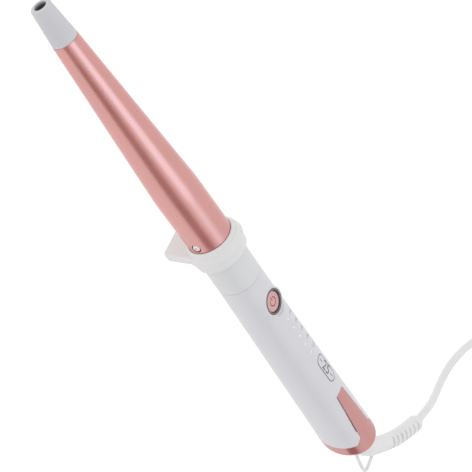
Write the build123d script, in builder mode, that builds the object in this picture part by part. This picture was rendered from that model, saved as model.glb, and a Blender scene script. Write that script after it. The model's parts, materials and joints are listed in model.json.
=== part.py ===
from build123d import *
import os
from math import cos, pi, radians, sin, tan

# Curling wand lying on a table, in millimetres.
# +X runs from the cool tip towards the cord, +Z is up and the power button faces up.
# The stand foot under the collar and the underside of the butt carry the wand.

os.makedirs("parts", exist_ok=True)

# ---------------------------------------------------------------- driving dimensions
# Barrel: a 25 mm cylinder at the collar, then a cone down to the cool tip.
BARREL_R = 12.5
BARREL_TOP_R = 7.0
BARREL_STRAIGHT = 35.0
BARREL_LENGTH = 140.0
BARREL_WALL = 1.2

# Cool tip
TIP_LENGTH = 21.0
TIP_RIM_R = 5.3
TIP_HOLE_R = 3.3
TIP_HOLE_DEPTH = 13.0

# Collar and its stand foot
COLLAR_R = 16.3
COLLAR_LENGTH = 13.0
FOOT_CORNER_Y = 8.5
FOOT_CORNER_R = 3.0
FOOT_FRONT = 1.5
FOOT_THICKNESS = 5.5

# Handle: a slim cone that grows towards the butt, whose end is cut at a slant
NECK_R = 12.75
NECK_START = 13.6
HANDLE_START = 33.2
HANDLE_GROWTH = 0.01815
HANDLE_WALL = 1.8
BAND_START = 167.3
BAND_START_SLOPE = 0.397
BAND_END = 175.6
BAND_END_SLOPE = 0.53

# Controls on the top line of the handle
BUTTON_X = 53.6
BOSS_R = 8.2
BOSS_TOP = 12.0
BEZEL_R = 7.2
BUTTON_R = 5.75
BUTTON_SUNK = 0.7
BUTTON_TRAVEL = 0.8
LED_X = 68.6
LED_PITCH = 7.15
LED_COUNT = 5
LED_R = 1.0

# How the wand lies: the barrel's axis falls a little towards the cord, the handle's a little more
REST_TILT = 2.2
DROOP = 1.7
COLLAR_X = -11.3
REST_CONTACT_X = 166.0

# Swivel and strain relief
SWIVEL_R = 6.5
RUNNING_GAP = 0.15
SLEEVE_R = 5.35

# Mains cord: 5 mm flex, with the rest of its 1.8 m wound in a coil
CORD_R = 2.5
COIL_MEAN_R = 30.0
COIL_COLUMNS = 4
COIL_ROWS = 2

# ---------------------------------------------------------------- frames of the two axes
HANDLE_TILT = REST_TILT + DROOP


def handle_radius(x):
    """Outer radius of the handle at distance x behind the barrel's base."""
    return NECK_R + HANDLE_GROWTH * (x - HANDLE_START)


AXIS_HEIGHT = (REST_CONTACT_X * sin(radians(HANDLE_TILT))
               + handle_radius(REST_CONTACT_X) * cos(radians(HANDLE_TILT)))


def side_plane(tilt):
    """Plane through an axis: local x runs towards the cord, local y points up, local z to -Y."""
    angle = radians(tilt)
    return Plane(origin=(COLLAR_X, 0, AXIS_HEIGHT), x_dir=(cos(angle), 0, -sin(angle)), z_dir=(0, -1, 0))


BARREL = side_plane(REST_TILT)
HANDLE = side_plane(HANDLE_TILT)
BARREL_AXIS = Axis(BARREL.origin, BARREL.x_dir)
HANDLE_AXIS = Axis(HANDLE.origin, HANDLE.x_dir)


def point_on(side, x, up=0.0, y=0.0):
    """Row point at distance x along an axis, raised by up and moved by y towards +Y."""
    return side.from_local_coords(Vector(x, up, -y))


def across(side, x):
    """Plane square to an axis: local x is +Y, local y points up, its normal runs to the cord."""
    return Plane(origin=point_on(side, x), x_dir=(0, 1, 0), z_dir=side.x_dir)


def above(side, x, up):
    """Plane along an axis that faces up: local x runs to the cord, local y is +Y."""
    return Plane(origin=point_on(side, x, up), x_dir=side.x_dir, z_dir=side.y_dir)


def slant_plane(start, slope):
    """Slanted cut through the butt, square to the handle's side plane."""
    normal = HANDLE.x_dir - HANDLE.y_dir * slope
    return Plane(origin=point_on(HANDLE, start), x_dir=(0, 1, 0), z_dir=normal)


BAND_CUT = slant_plane(BAND_START, BAND_START_SLOPE)
END_CUT = slant_plane(BAND_END, BAND_END_SLOPE)

# ---------------------------------------------------------------- barrel
BARREL_INNER_R = BARREL_R - BARREL_WALL
BARREL_TOP_INNER_R = BARREL_TOP_R - BARREL_WALL
SCREW_X = -4.0
SCREW_HEAD_R = 2.05
SCREW_NOTCH_R = 2.6

with BuildPart() as barrel:
    with BuildSketch(BARREL) as barrel_profile:
        with BuildLine():
            Polyline((0, BARREL_INNER_R), (0, BARREL_R), (-BARREL_STRAIGHT, BARREL_R),
                     (-BARREL_LENGTH, BARREL_TOP_R), (-BARREL_LENGTH, BARREL_TOP_INNER_R),
                     (-BARREL_STRAIGHT, BARREL_INNER_R), close=True)
        make_face()
        kink = barrel_profile.vertices().group_by(Axis.Y)[-1].sort_by(Axis.X)
        fillet(kink[0], radius=150)
        fillet(barrel_profile.vertices().group_by(Axis.Y)[-1].sort_by(Axis.X)[-1], radius=0.5)
    revolve(axis=BARREL_AXIS)
    with BuildSketch(Plane(origin=point_on(BARREL, SCREW_X), x_dir=BARREL.x_dir, z_dir=(0, -1, 0))):
        Circle(SCREW_NOTCH_R)
    extrude(amount=BARREL_R + 1, both=True, mode=Mode.SUBTRACT)
barrel.part.label = "barrel"
export_step(barrel.part, "parts/barrel.step")

# ---------------------------------------------------------------- cool tip and its screw
TIP_START = -BARREL_LENGTH - 0.15
TIP_END = TIP_START - TIP_LENGTH
TIP_BASE_R = 6.95
TIP_SPIGOT_R = 5.75
TIP_SPIGOT = 6.0
TIP_FLOOR = 3.0
TIP_CAVITY_R = 4.2

with BuildPart() as tip_cap:
    with BuildSketch(BARREL) as tip_profile:
        with BuildLine():
            hole_floor = TIP_END + TIP_HOLE_DEPTH
            Polyline((TIP_END, TIP_HOLE_R), (TIP_END, TIP_RIM_R), (TIP_START, TIP_BASE_R),
                     (TIP_START, TIP_SPIGOT_R), (TIP_START + TIP_SPIGOT, TIP_SPIGOT_R),
                     (TIP_START + TIP_SPIGOT, TIP_CAVITY_R), (hole_floor + TIP_FLOOR, TIP_CAVITY_R),
                     (hole_floor + TIP_FLOOR, 1.35), (hole_floor, 1.35), (hole_floor, TIP_HOLE_R), close=True)
        make_face()
        rim = tip_profile.vertices().sort_by(Axis.X)[0:2]
        fillet(rim.sort_by(Axis.Y)[-1], radius=0.9)
        fillet(tip_profile.vertices().sort_by(Axis.X)[0:1], radius=0.45)
    revolve(axis=BARREL_AXIS)
tip_cap.part.label = "tip_cap"
export_step(tip_cap.part, "parts/tip_cap.step")

TIP_SCREW_HEAD_R = 2.6
TIP_SCREW_HEAD = 1.6
TIP_SCREW_R = 1.3
TIP_SCREW_LENGTH = 12.0

with BuildPart() as tip_screw:
    with BuildSketch(BARREL):
        with BuildLine():
            seat = TIP_END + TIP_HOLE_DEPTH
            Polyline((seat - TIP_SCREW_HEAD, 0), (seat - TIP_SCREW_HEAD, TIP_SCREW_HEAD_R - 0.6),
                     (seat - 1.0, TIP_SCREW_HEAD_R), (seat, TIP_SCREW_HEAD_R), (seat, TIP_SCREW_R),
                     (seat + TIP_SCREW_LENGTH, TIP_SCREW_R), (seat + TIP_SCREW_LENGTH + 1, 0), close=True)
        make_face()
    revolve(axis=BARREL_AXIS)
    with BuildSketch(across(BARREL, seat - TIP_SCREW_HEAD)):
        Rectangle(3.2, 0.55)
        Rectangle(0.55, 3.2)
    extrude(amount=0.8, mode=Mode.SUBTRACT)
tip_screw.part.label = "tip_screw"
export_step(tip_screw.part, "parts/tip_screw.step")

# ---------------------------------------------------------------- heater inside the barrel
# Five PTC tiles lie between two electrode plates, and two half-round aluminium blocks
# clamp them and carry the heat to the barrel's wall.
HEATER_START = -122.0
HEATER_END = -44.0
SPREADER_GAP = 0.35
TILE_LENGTH = 14.0
TILE_WIDTH = 7.0
TILE_HEIGHT = 2.4
TILE_COUNT = 5
PLATE_HEIGHT = 0.5
SPREADER_FACE = TILE_HEIGHT / 2 + PLATE_HEIGHT


def barrel_bore(x):
    """Inner radius of the barrel at a place on its cone."""
    share = (x + BARREL_STRAIGHT) / (BARREL_STRAIGHT - BARREL_LENGTH)
    return BARREL_INNER_R + (BARREL_TOP_INNER_R - BARREL_INNER_R) * share


for upper in (True, False):
    name = "heat_spreader_upper" if upper else "heat_spreader_lower"
    side = 1 if upper else -1
    with BuildPart() as heat_spreader:
        with BuildSketch(BARREL):
            with BuildLine():
                Polyline((HEATER_START, 0), (HEATER_START, barrel_bore(HEATER_START) - SPREADER_GAP),
                         (HEATER_END, barrel_bore(HEATER_END) - SPREADER_GAP), (HEATER_END, 0), close=True)
            make_face()
        revolve(axis=BARREL_AXIS)
        split(bisect_by=above(BARREL, 0, side * SPREADER_FACE), keep=Keep.TOP if upper else Keep.BOTTOM)
    heat_spreader.part.label = name
    export_step(heat_spreader.part, f"parts/{name}.step")

TILES_MIDDLE = (HEATER_START + HEATER_END) / 2

with BuildPart() as ptc_tiles:
    with BuildSketch(above(BARREL, TILES_MIDDLE, -TILE_HEIGHT / 2)):
        with GridLocations(TILE_LENGTH + 0.5, 1, TILE_COUNT, 1):
            Rectangle(TILE_LENGTH, TILE_WIDTH)
    extrude(amount=TILE_HEIGHT)
ptc_tiles.part.label = "ptc_tiles"
export_step(ptc_tiles.part, "parts/ptc_tiles.step")

PLATE_LENGTH = HEATER_END - HEATER_START
TAB_LENGTH = 10.0

with BuildPart() as electrode_plates:
    for level, tab_y in ((TILE_HEIGHT / 2, 2.0), (-SPREADER_FACE, -2.0)):
        with BuildSketch(above(BARREL, TILES_MIDDLE, level)):
            Rectangle(PLATE_LENGTH, TILE_WIDTH)
            with Locations((PLATE_LENGTH / 2 + TAB_LENGTH / 2, tab_y)):
                Rectangle(TAB_LENGTH, 2.6)
        extrude(amount=PLATE_HEIGHT)
electrode_plates.part.label = "electrode_plates"
export_step(electrode_plates.part, "parts/electrode_plates.step")

# ---------------------------------------------------------------- barrel mount, base screws, sensors
MOUNT_R = BARREL_INNER_R - 0.05
MOUNT_FLANGE_R = 9.6
MOUNT_BORE_R = 6.5
MOUNT_FRONT = -12.0
MOUNT_BACK = 15.0

with BuildPart() as barrel_mount:
    with BuildSketch(BARREL):
        with BuildLine():
            Polyline((MOUNT_FRONT, MOUNT_BORE_R), (MOUNT_FRONT, MOUNT_R), (0.2, MOUNT_R), (0.2, MOUNT_FLANGE_R),
                     (MOUNT_BACK, MOUNT_FLANGE_R), (MOUNT_BACK, MOUNT_BORE_R), close=True)
        make_face()
    revolve(axis=BARREL_AXIS)
    with BuildSketch(Plane(origin=point_on(BARREL, SCREW_X), x_dir=BARREL.x_dir, z_dir=(0, -1, 0))):
        Circle(1.15)
    extrude(amount=BARREL_R, both=True, mode=Mode.SUBTRACT)
barrel_mount.part.label = "barrel_mount"
export_step(barrel_mount.part, "parts/barrel_mount.step")

SCREW_HEAD = 1.15
SCREW_SHANK_R = 1.1
SCREW_SHANK = 4.2

with BuildPart() as barrel_screws:
    for turn in (90, -90):
        facing = Plane(origin=point_on(BARREL, SCREW_X), x_dir=BARREL.x_dir, z_dir=(0, -turn / 90, 0))
        with BuildSketch(facing.offset(MOUNT_R)):
            Circle(SCREW_HEAD_R)
        extrude(amount=SCREW_HEAD)
        fillet(faces().sort_by(Axis.Y)[0 if turn > 0 else -1].edges(), radius=0.5)
        with BuildSketch(facing.offset(MOUNT_R - SCREW_SHANK)):
            Circle(SCREW_SHANK_R)
        extrude(amount=SCREW_SHANK)
        with BuildSketch(facing.offset(MOUNT_R + SCREW_HEAD)):
            Rectangle(2.6, 0.5, rotation=35)
            Rectangle(0.5, 2.6, rotation=35)
        extrude(amount=-0.55, mode=Mode.SUBTRACT)
barrel_screws.part.label = "barrel_screws"
export_step(barrel_screws.part, "parts/barrel_screws.step")

with BuildPart() as thermal_fuse:
    with BuildSketch(across(BARREL, -32)):
        with Locations((0, 5.5)):
            Circle(1.9)
    extrude(amount=9)
    chamfer(thermal_fuse.faces().filter_by(GeomType.PLANE).edges(), length=0.5)
    with BuildSketch(across(BARREL, -40)):
        with Locations((0, 5.5)):
            Circle(0.4)
    extrude(amount=24)
thermal_fuse.part.label = "thermal_fuse"
export_step(thermal_fuse.part, "parts/thermal_fuse.step")

with BuildPart() as thermistor:
    with BuildSketch(across(BARREL, -43.8)):
        with Locations((0, -5.6)):
            Circle(1.2)
    extrude(amount=5)
    fillet(thermistor.faces().filter_by(GeomType.PLANE).edges(), radius=0.9)
    with BuildSketch(across(BARREL, -39.2)):
        with Locations((-0.6, -5.6), (0.6, -5.6)):
            Circle(0.3)
    extrude(amount=28)
thermistor.part.label = "thermistor"
export_step(thermistor.part, "parts/thermistor.step")

# ---------------------------------------------------------------- collar with its stand foot
COLLAR_BORE_R = BARREL_R + 0.3
COLLAR_STEP_X = 7.7
COLLAR_SKIRT_R = 15.1
COLLAR_SOCKET_R = 12.4

foot_depth = AXIS_HEIGHT + 0.3
foot_corners = [(-FOOT_CORNER_Y, FOOT_CORNER_R - foot_depth), (FOOT_CORNER_Y, FOOT_CORNER_R - foot_depth)]

with BuildPart() as foot_tab:
    with BuildSketch(across(BARREL, FOOT_FRONT)):
        Circle(COLLAR_R - 1.1)
        with Locations(foot_corners):
            Circle(FOOT_CORNER_R)
        make_hull()
    extrude(amount=FOOT_THICKNESS)
    fillet(foot_tab.edges().filter_by(lambda edge: abs((edge % 0.5).X) < 0.5), radius=1.2)
    with BuildSketch(across(BARREL, FOOT_FRONT)):
        Circle(COLLAR_SOCKET_R + 1.2)
    extrude(amount=FOOT_THICKNESS, mode=Mode.SUBTRACT)

with BuildPart() as stand_collar:
    with BuildSketch(BARREL):
        with BuildLine():
            nose = Line((-0.3, COLLAR_BORE_R), (-0.2, COLLAR_BORE_R + 0.25))
            flare = ThreePointArc(nose @ 1, (2.0, 14.7), (5.0, COLLAR_R - 0.25))
            crest = ThreePointArc(flare @ 1, (5.9, COLLAR_R), (6.8, COLLAR_R - 0.2))
            Polyline(crest @ 1, (COLLAR_STEP_X, 15.75), (COLLAR_STEP_X, COLLAR_SKIRT_R + 0.3),
                     (COLLAR_LENGTH - 0.7, COLLAR_SKIRT_R), (COLLAR_LENGTH, COLLAR_SKIRT_R - 0.7),
                     (COLLAR_LENGTH, COLLAR_SOCKET_R), (3.4, COLLAR_SOCKET_R), (3.4, MOUNT_FLANGE_R + 0.05),
                     (0.25, MOUNT_FLANGE_R + 0.05), (0.25, COLLAR_BORE_R), nose @ 0)
        make_face()
    revolve(axis=BARREL_AXIS)
    add(foot_tab.part)
    split(bisect_by=Plane.XY, keep=Keep.TOP)
stand_collar.part.label = "stand_collar"
export_step(stand_collar.part, "parts/stand_collar.step")

# ---------------------------------------------------------------- neck sleeve and handle shell
NECK_WALL = 1.6
NECK_SPIGOT_R = 11.7

with BuildPart() as neck_sleeve:
    with BuildSketch(HANDLE) as neck_profile:
        with BuildLine():
            neck_end = HANDLE_START - 0.1
            inner_r = NECK_SPIGOT_R - NECK_WALL
            Polyline((NECK_START - 6, inner_r), (NECK_START - 6, NECK_SPIGOT_R), (NECK_START, NECK_SPIGOT_R),
                     (NECK_START, NECK_R), (neck_end, NECK_R), (neck_end, 10.85), (neck_end + 6, 10.85),
                     (neck_end + 6, 9.4), (neck_end - 2, 9.4), (neck_end - 2, inner_r), close=True)
        make_face()
        fillet(neck_profile.vertices().group_by(Axis.Y)[-1], radius=0.2)
    revolve(axis=HANDLE_AXIS)
neck_sleeve.part.label = "neck_sleeve"
export_step(neck_sleeve.part, "parts/neck_sleeve.step")

TONGUE_START = 133.3
TONGUE_DEPTH = 1.0
TONGUE_TOP_HALF = 3.7
TONGUE_FOOT_HALF = 6.1
TRIM_GAP = 0.2


def tongue_outline(gap):
    """Plan outline of the trim's tongue, widened by a gap on every side."""
    with BuildSketch(above(HANDLE, 0, 0), mode=Mode.PRIVATE) as outline:
        with BuildLine():
            root = BAND_START + 1.5
            Polyline((TONGUE_START, -TONGUE_TOP_HALF), (root, -TONGUE_FOOT_HALF), (root + 5, -11), (root + 16, -11),
                     (root + 16, 11), (root + 5, 11), (root, TONGUE_FOOT_HALF),
                     (TONGUE_START, TONGUE_TOP_HALF), close=True)
        make_face()
        fillet(outline.vertices().sort_by(Axis.X)[0:2], radius=1.3)
        root_corners = outline.vertices().filter_by(lambda v: abs(abs(v.Y) - TONGUE_FOOT_HALF) < 0.05)
        fillet(root_corners, radius=4)
        if gap:
            offset(amount=gap)
    return outline.sketch


def handle_cone(start, end, inset):
    """Closed cone along the handle's axis, inset from its outer surface."""
    with BuildPart(mode=Mode.PRIVATE) as cone:
        with BuildSketch(HANDLE):
            with BuildLine():
                Polyline((start, 0), (start, handle_radius(start) - inset),
                         (end, handle_radius(end) - inset), (end, 0), close=True)
            make_face()
        revolve(axis=HANDLE_AXIS)
    return cone.part


SHELL_END = 178.0
LED_PLACES = [(LED_X + LED_PITCH * i, 0) for i in range(LED_COUNT)]
shell_outside = handle_cone(HANDLE_START, SHELL_END, 0)
shell_inside = handle_cone(HANDLE_START - 1, SHELL_END + 1, HANDLE_WALL)
tongue_recess = extrude(tongue_outline(TRIM_GAP), amount=30) - handle_cone(120, 200, TONGUE_DEPTH + 0.1)

with BuildPart() as handle_shell:
    add(shell_outside)
    split(bisect_by=BAND_CUT, keep=Keep.BOTTOM)
    fillet(handle_shell.faces().sort_by(HANDLE_AXIS)[0].edges(), radius=0.2)
    with BuildSketch(above(HANDLE, BUTTON_X, BOSS_TOP)):
        Circle(BOSS_R)
    extrude(amount=-6, taper=-14)
    with BuildSketch(above(HANDLE, BUTTON_X, BOSS_TOP)):
        Circle(BOSS_R)
    extrude(amount=4, taper=-30, mode=Mode.SUBTRACT)
    add(shell_inside, mode=Mode.SUBTRACT)
    with BuildSketch(above(HANDLE, BUTTON_X, 0)):
        Circle(BEZEL_R + 0.05)
    extrude(amount=20, mode=Mode.SUBTRACT)
    with BuildSketch(above(HANDLE, 0, 0)):
        with Locations(LED_PLACES):
            Circle(LED_R + 0.03)
    extrude(amount=20, mode=Mode.SUBTRACT)
    add(tongue_recess, mode=Mode.SUBTRACT)
handle_shell.part.label = "handle_shell"
export_step(handle_shell.part, "parts/handle_shell.step")

# ---------------------------------------------------------------- tail trim: end band and tongue in one
TRIM_WALL = 2.2
BOSS_INNER_R = SWIVEL_R + RUNNING_GAP
BOSS_OUTER_R = 8.6

band_outside = handle_cone(BAND_START - 10, 190, 0)
band_room = handle_cone(BAND_START - 20, 190, TRIM_WALL + 0.3)
tongue = extrude(tongue_outline(0), amount=30) & handle_cone(120, BAND_START + 8, 0)
tongue = tongue - handle_cone(110, 200, TONGUE_DEPTH)

with BuildPart() as band_hollow:
    add(band_room)
    split(bisect_by=slant_plane(BAND_END - TRIM_WALL - 0.6, BAND_END_SLOPE), keep=Keep.BOTTOM)

with BuildPart() as tail_trim:
    add(band_outside)
    split(bisect_by=END_CUT, keep=Keep.BOTTOM)
    fillet(tail_trim.faces().sort_by(HANDLE_AXIS)[-1].edges(), radius=2.6)
    split(bisect_by=slant_plane(BAND_START + 0.12, BAND_START_SLOPE), keep=Keep.TOP)
    add(band_hollow.part, mode=Mode.SUBTRACT)
    with BuildSketch(across(HANDLE, BAND_START - 3)):
        Circle(BOSS_OUTER_R)
    extrude(until=Until.NEXT)
    add(tongue)
    with BuildSketch(across(HANDLE, BAND_START - 12)):
        Circle(BOSS_INNER_R)
    extrude(amount=40, mode=Mode.SUBTRACT)
tail_trim.part.label = "tail_trim"
export_step(tail_trim.part, "parts/tail_trim.step")

# ---------------------------------------------------------------- button, bezel and light pipes
BEZEL_INNER_R = BUTTON_R + 0.25
BEZEL_DEPTH = 3.2
BUTTON_TOP = BOSS_TOP - BUTTON_SUNK
BUTTON_SKIRT = 2.4
BUTTON_STEM_R = 1.6
SWITCH_TOP = 5.6
PRESS_ROOM = 0.15

with BuildPart() as button_bezel:
    with BuildSketch(above(HANDLE, BUTTON_X, BOSS_TOP - BEZEL_DEPTH)):
        Circle(BEZEL_R)
        Circle(BEZEL_INNER_R, mode=Mode.SUBTRACT)
    extrude(amount=BEZEL_DEPTH + 0.15)
    fillet(button_bezel.faces().sort_by(Axis.Z)[-1].edges(), radius=0.35)
button_bezel.part.label = "button_bezel"
export_step(button_bezel.part, "parts/button_bezel.step")

SYMBOL_R = 2.7
SYMBOL_LINE = 0.55
SYMBOL_DEPTH = 0.3

with BuildPart() as power_button:
    with BuildSketch(above(HANDLE, BUTTON_X, BUTTON_TOP - BUTTON_SKIRT)):
        Circle(BUTTON_R)
    extrude(amount=BUTTON_SKIRT)
    fillet(power_button.faces().sort_by(Axis.Z)[-1].edges(), radius=0.5)
    with BuildSketch(above(HANDLE, BUTTON_X, SWITCH_TOP + PRESS_ROOM)):
        Circle(BUTTON_STEM_R)
    extrude(until=Until.NEXT)
    with BuildSketch(above(HANDLE, BUTTON_X, BUTTON_TOP)):
        Circle(SYMBOL_R)
        Circle(SYMBOL_R - SYMBOL_LINE, mode=Mode.SUBTRACT)
        with Locations((-SYMBOL_R, 0)):
            Rectangle(2.6, 2.4, mode=Mode.SUBTRACT)
        with Locations((-SYMBOL_R + 0.6, 0)):
            Rectangle(2.6, SYMBOL_LINE)
    extrude(amount=-SYMBOL_DEPTH, mode=Mode.SUBTRACT)
power_button.part.label = "power_button"
export_step(power_button.part, "parts/power_button.step")

with BuildPart() as light_pipes:
    for x, y in LED_PLACES:
        with BuildSketch(above(HANDLE, x, 7.6)):
            Circle(LED_R)
        extrude(amount=handle_radius(x) - 7.6)
        fillet(light_pipes.faces(Select.LAST).sort_by(Axis.Z)[-1].edges(), radius=0.3)
light_pipes.part.label = "light_pipes"
export_step(light_pipes.part, "parts/light_pipes.step")

# ---------------------------------------------------------------- electronics on the chassis
BOARD_BOTTOM = 0.5
BOARD_THICKNESS = 1.6
BOARD_TOP = BOARD_BOTTOM + BOARD_THICKNESS
BOARD_START = 41.5
BOARD_END = 118.0
BOARD_WIDTH = 17.0
BOARD_MIDDLE = (BOARD_START + BOARD_END) / 2
BOARD_SCREWS = ((BOARD_START + 4, -6.0), (BOARD_END - 4, 6.0))
CHASSIS_END = 140.0

with BuildPart() as chassis:
    with BuildSketch(above(HANDLE, (BOARD_START + CHASSIS_END) / 2, -4.0)):
        Rectangle(CHASSIS_END - BOARD_START, 18.5)
    extrude(amount=1.8)
    with BuildSketch(above(HANDLE, BOARD_MIDDLE, -2.2)):
        with Locations([(x - BOARD_MIDDLE, y) for x, y in BOARD_SCREWS]):
            Circle(2.4)
        with Locations((BOARD_START + 4 - BOARD_MIDDLE, 6.0), (BOARD_END - 4 - BOARD_MIDDLE, -6.0)):
            Circle(2.0)
    extrude(amount=BOARD_BOTTOM + 2.2)
    with BuildSketch(above(HANDLE, BOARD_MIDDLE, -4.0)):
        with Locations([(x - BOARD_MIDDLE, y) for x, y in BOARD_SCREWS]):
            Circle(0.9)
    extrude(amount=8, mode=Mode.SUBTRACT)
    for rib_x in (BOARD_START + 2, BOARD_MIDDLE, CHASSIS_END - 2):
        with BuildSketch(across(HANDLE, rib_x - 1)):
            Circle(handle_radius(rib_x) - HANDLE_WALL - 0.3)
            with Locations((0, 20 - 4.0)):
                Rectangle(40, 40, mode=Mode.SUBTRACT)
        extrude(amount=2)
chassis.part.label = "chassis"
export_step(chassis.part, "parts/chassis.step")

with BuildPart() as circuit_board:
    with BuildSketch(above(HANDLE, BOARD_MIDDLE, BOARD_BOTTOM)):
        RectangleRounded(BOARD_END - BOARD_START, BOARD_WIDTH, 1.5)
        with Locations([(x - BOARD_MIDDLE, y) for x, y in BOARD_SCREWS]):
            Circle(1.2, mode=Mode.SUBTRACT)
    extrude(amount=BOARD_THICKNESS)
circuit_board.part.label = "circuit_board"
export_step(circuit_board.part, "parts/circuit_board.step")

with BuildPart() as board_screws:
    for x, y in BOARD_SCREWS:
        with BuildSketch(above(HANDLE, x, BOARD_TOP)):
            with Locations((0, y)):
                Circle(2.0)
        extrude(amount=1.3)
        with BuildSketch(above(HANDLE, x, BOARD_TOP)):
            with Locations((0, y)):
                Circle(0.85)
        extrude(amount=-5.5)
        with BuildSketch(above(HANDLE, x, BOARD_TOP + 1.3)):
            with Locations((0, y)):
                Rectangle(2.4, 0.5)
                Rectangle(0.5, 2.4)
        extrude(amount=-0.6, mode=Mode.SUBTRACT)
board_screws.part.label = "board_screws"
export_step(board_screws.part, "parts/board_screws.step")

with BuildPart() as tact_switch:
    with BuildSketch(above(HANDLE, BUTTON_X, BOARD_TOP)):
        Rectangle(6.0, 6.0)
    extrude(amount=2.4)
    with BuildSketch(above(HANDLE, BUTTON_X, BOARD_TOP + 2.4)):
        Circle(1.7)
    extrude(amount=SWITCH_TOP - BUTTON_TRAVEL - BOARD_TOP - 2.4)
tact_switch.part.label = "tact_switch"
export_step(tact_switch.part, "parts/tact_switch.step")

with BuildPart() as leds:
    for x, y in LED_PLACES:
        with BuildSketch(above(HANDLE, x, BOARD_TOP)):
            Rectangle(3.2, 2.4)
        extrude(amount=1.0)
        with BuildSketch(above(HANDLE, x, BOARD_TOP + 1.0)):
            Circle(1.0)
        extrude(amount=0.9)
leds.part.label = "leds"
export_step(leds.part, "parts/leds.step")

with BuildPart() as capacitor:
    with BuildSketch(above(HANDLE, 106.0, BOARD_TOP)):
        with Locations((0, -3.2)):
            RectangleRounded(13.0, 5.0, 0.8)
    extrude(amount=8.0)
capacitor.part.label = "capacitor"
export_step(capacitor.part, "parts/capacitor.step")

with BuildPart() as triac:
    with BuildSketch(above(HANDLE, 62.0, BOARD_TOP)):
        with Locations((0, -5.6)):
            Rectangle(10.0, 4.4)
    extrude(amount=4.6)
    with BuildSketch(above(HANDLE, 62.0, BOARD_TOP + 4.6)):
        with Locations((0, -6.9)):
            Rectangle(10.0, 1.3)
    extrude(amount=1.4)
triac.part.label = "triac"
export_step(triac.part, "parts/triac.step")

with BuildPart() as control_chip:
    with BuildSketch(above(HANDLE, 84.0, BOARD_TOP)):
        with Locations((0, 5.2)):
            Rectangle(8.7, 3.9)
    extrude(amount=1.5)
    with BuildSketch(above(HANDLE, 84.0, BOARD_TOP)):
        with Locations((0, 5.2)):
            with GridLocations(1.27, 1, 6, 1):
                Rectangle(0.5, 6.0)
    extrude(amount=0.4)
control_chip.part.label = "control_chip"
export_step(control_chip.part, "parts/control_chip.step")

LEAD_R = 0.75
LEAD_BEND_R = 15.0
LEAD_START = HEATER_END + 2
LEAD_END = BOARD_START + 3
LEAD_LEVEL = BOARD_TOP + LEAD_R

with BuildPart() as heater_leads:
    for level, middle, lead_y in ((SPREADER_FACE + LEAD_R, 3.2, 2.0), (-SPREADER_FACE - LEAD_R, -3.2, -2.0)):
        lead_route = [
            point_on(BARREL, LEAD_START, level, lead_y),
            point_on(BARREL, 4, middle, lead_y),
            point_on(HANDLE, LEAD_END - 11, LEAD_LEVEL, lead_y * 1.5),
            point_on(HANDLE, LEAD_END, LEAD_LEVEL, lead_y * 1.5),
        ]
        with BuildLine() as lead_path:
            FilletPolyline(*lead_route, radius=LEAD_BEND_R)
        with BuildSketch(Plane(origin=lead_path.line @ 0, z_dir=lead_path.line % 0)):
            Circle(LEAD_R)
        sweep(path=lead_path.line)
heater_leads.part.label = "heater_leads"
export_step(heater_leads.part, "parts/heater_leads.step")

# ---------------------------------------------------------------- swivel
STEM_START = 146.0
STEM_R = 3.4
FLANGE_START = 158.2
FLANGE_R = 8.2
HUB_END = 184.0
SOCKET_START = 179.0
SOCKET_R = SLEEVE_R + 0.04
RING_R = 4.8
RING_WIDTH = 2.6
RING_PLACES = (148.0, 152.5)

with BuildPart() as swivel_hub:
    with BuildSketch(HANDLE) as hub_profile:
        with BuildLine():
            Polyline((STEM_START, 0), (STEM_START, STEM_R), (FLANGE_START, STEM_R), (FLANGE_START, FLANGE_R),
                     (FLANGE_START + 2, FLANGE_R), (FLANGE_START + 2, SWIVEL_R), (HUB_END, SWIVEL_R),
                     (HUB_END, SOCKET_R), (SOCKET_START, SOCKET_R), (SOCKET_START, 0), close=True)
        make_face()
        hub_corners = hub_profile.vertices().group_by(Axis.X)[-1].sort_by(Axis.Y)
        fillet(hub_corners[-1], radius=0.8)
    revolve(axis=HANDLE_AXIS)
swivel_hub.part.label = "swivel_hub"
export_step(swivel_hub.part, "parts/swivel_hub.step")

with BuildPart() as slip_rings:
    for x in RING_PLACES:
        with BuildSketch(across(HANDLE, x)):
            Circle(RING_R)
            Circle(STEM_R, mode=Mode.SUBTRACT)
        extrude(amount=RING_WIDTH)
slip_rings.part.label = "slip_rings"
export_step(slip_rings.part, "parts/slip_rings.step")

HOLDER_TOP = -7.4
BRUSH_LEVEL = -RING_R - 0.3

with BuildPart() as brush_holder:
    with BuildSketch(across(HANDLE, CHASSIS_END + 3)):
        Circle(handle_radius(CHASSIS_END) - HANDLE_WALL - 0.2)
        with Locations((0, HOLDER_TOP + 20)):
            Rectangle(40, 40, mode=Mode.SUBTRACT)
    extrude(amount=13.5)
brush_holder.part.label = "brush_holder"
export_step(brush_holder.part, "parts/brush_holder.step")

with BuildPart() as contact_brushes:
    for x in RING_PLACES:
        with BuildSketch(above(HANDLE, x + RING_WIDTH / 2, HOLDER_TOP)):
            Rectangle(2.0, 6.0)
        extrude(amount=0.5)
        with BuildSketch(above(HANDLE, x + RING_WIDTH / 2, HOLDER_TOP + 0.5)):
            Rectangle(2.0, 1.6)
        extrude(amount=BRUSH_LEVEL - HOLDER_TOP - 0.5)
contact_brushes.part.label = "contact_brushes"
export_step(contact_brushes.part, "parts/contact_brushes.step")

# ---------------------------------------------------------------- strain relief and hanging loop
# The sleeve sits in the hub's socket, turns towards +Y and sinks to the table.
SLEEVE_ROUTE = [
    point_on(HANDLE, SOCKET_START),
    point_on(HANDLE, SOCKET_START + 13),
    Vector(202.6, 21.0, 11.0),
    Vector(217.6, 38.5, 9.2),
    Vector(226.1, 52.5, 7.8),
]


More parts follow.
